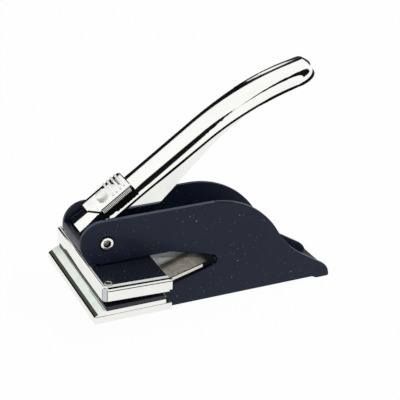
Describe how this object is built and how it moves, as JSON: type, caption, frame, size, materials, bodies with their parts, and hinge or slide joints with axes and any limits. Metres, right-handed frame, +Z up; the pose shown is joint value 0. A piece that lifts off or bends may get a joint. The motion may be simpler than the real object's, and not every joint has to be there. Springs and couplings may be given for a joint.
{
  "type": "seal embosser",
  "caption": "Hand-lever desk seal embosser: a dark cheeked frame with a lower die plate, a sprung hinged chrome platen, and a long curved chrome handle with a lock slide.",
  "frame": {"origin": "underside of the rubber pad, halfway along the base, on the centre plane", "axes": "+X from the dies (front) to the tail (back), +Y across to the far side, +Z up from the table"},
  "size_m": [0.113, 0.062, 0.0954],
  "materials": {
    "navy_enamel": "satin near-black navy enamel with fine light specks",
    "black_enamel": "glossy black enamel with fine light specks",
    "polished_chrome": "polished chrome plate",
    "plain_steel": "plain bright steel",
    "spring_steel": "dark spring wire",
    "counter_die_black": "smooth dark navy-black counter die",
    "die_brass": "plain brass die",
    "pad_rubber": "matt black rubber sheet"
  },
  "bodies": {
    "frame_body": {"frame": "navy_enamel", "nose_bridge": "navy_enamel", "base_pad": "pad_rubber", "lower_plate": "polished_chrome", "lower_die": "counter_die_black", "anvil_block": "plain_steel", "anvil_screws": "plain_steel", "hinge_bracket": "plain_steel", "hinge_pin": "plain_steel", "bracket_rivets": "plain_steel", "spring_stud": "plain_steel", "return_spring": "spring_steel", "pivot_pin": "polished_chrome"},
    "jaw": {"upper_platen": "polished_chrome", "cap_plate": "black_enamel", "cap_screws": "polished_chrome", "press_arm": "polished_chrome", "wear_plate": "plain_steel", "wear_plate_rivets": "plain_steel", "upper_die": "die_brass"},
    "handle": {"lever": "polished_chrome", "handle_cover": "polished_chrome", "cross_pin": "plain_steel", "pivot_bushes": "plain_steel"},
    "slide": {"lock_slide": "polished_chrome", "slide_stud": "polished_chrome", "slide_clip": "plain_steel"}
  },
  "joints": [
    {"name": "handle_press", "type": "hinge", "parent": "frame_body", "child": "handle", "pos_m": [-0.0442, 0, 0.03495], "axis": [0, 1, 0], "range_deg": [0, 30], "stiffness_Nm_per_rad": 0.4, "springref_deg": -20.05},
    {"name": "jaw_close", "type": "hinge", "parent": "frame_body", "child": "jaw", "pos_m": [0.008, 0, 0.01765], "axis": [0, -1, 0], "range_deg": [0, 2], "deforming": ["return_spring"]},
    {"name": "lock_slide_move", "type": "slide", "parent": "handle", "child": "slide", "axis": [-0.8241, 0, -0.5664], "range_m": [0, 0.004]}
  ],
  "couplings": [
    {"joint": "jaw_close", "follows": "handle_press", "ratio": 0.06666}
  ]
}
